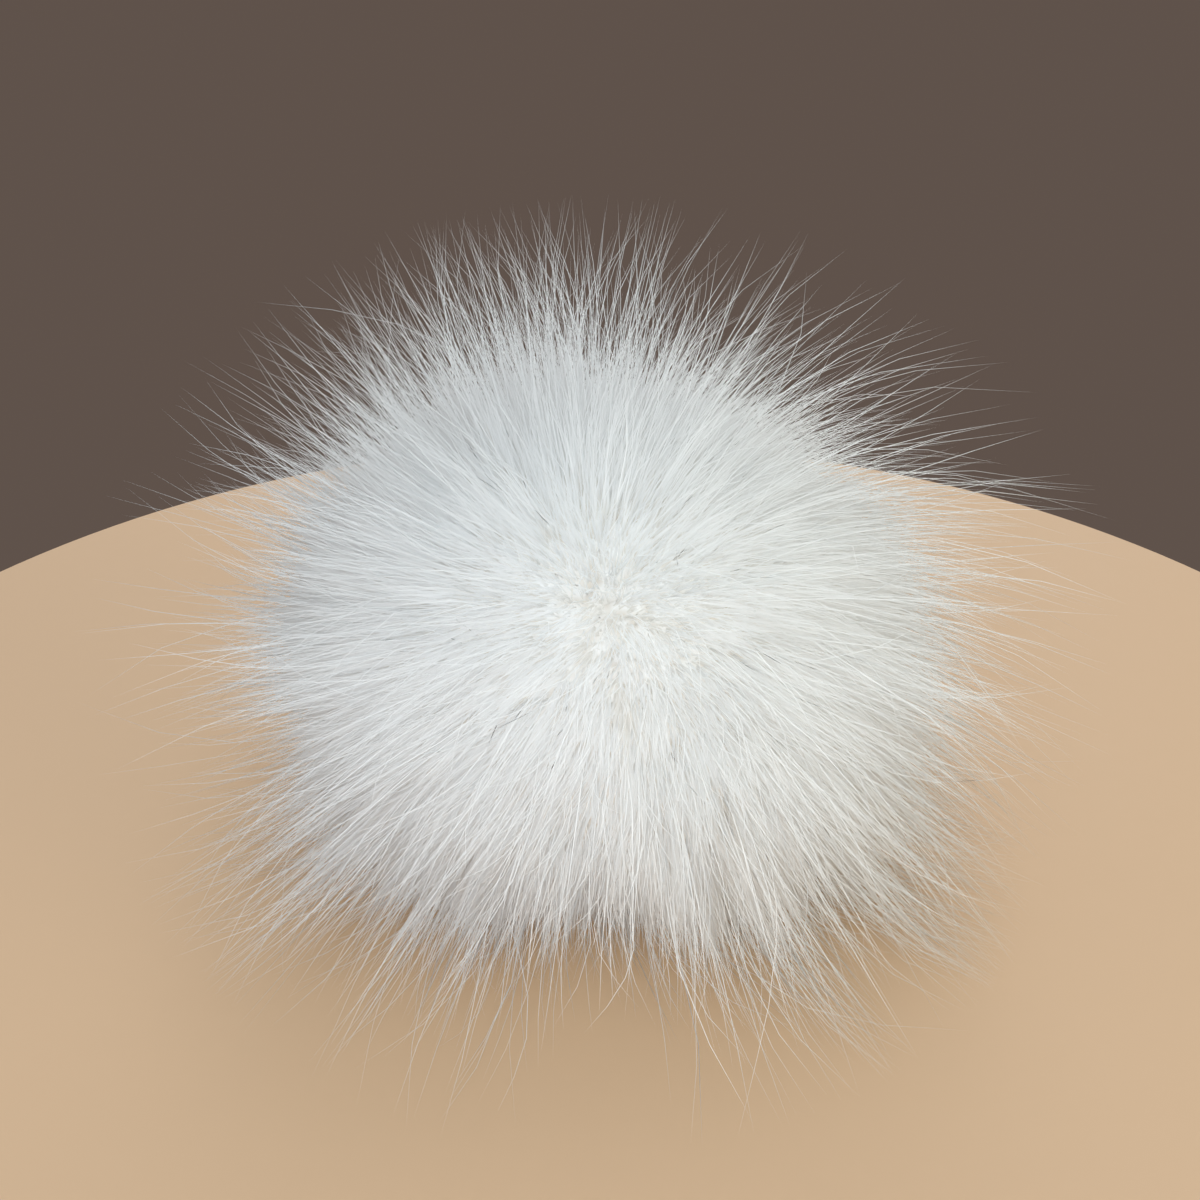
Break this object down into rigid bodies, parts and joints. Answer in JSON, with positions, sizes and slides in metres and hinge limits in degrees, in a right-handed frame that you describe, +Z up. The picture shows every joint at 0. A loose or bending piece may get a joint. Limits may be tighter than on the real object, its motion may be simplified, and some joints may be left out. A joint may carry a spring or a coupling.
{
  "type": "fur pom-pom",
  "caption": "Round ball of long white fur that stands on a small flattened underside, its hairs pointing outwards all over.",
  "frame": {"origin": "centre of the flat underside, on the surface that the ball stands on", "axes": "+Z up through the middle of the ball, -Y towards the side that the picture shows"},
  "size_m": [0.1479, 0.1469, 0.1117],
  "materials": {
    "fur": "soft long white fur"
  },
  "bodies": {
    "root": {"fur_pompom": "fur"}
  },
  "joints": []
}
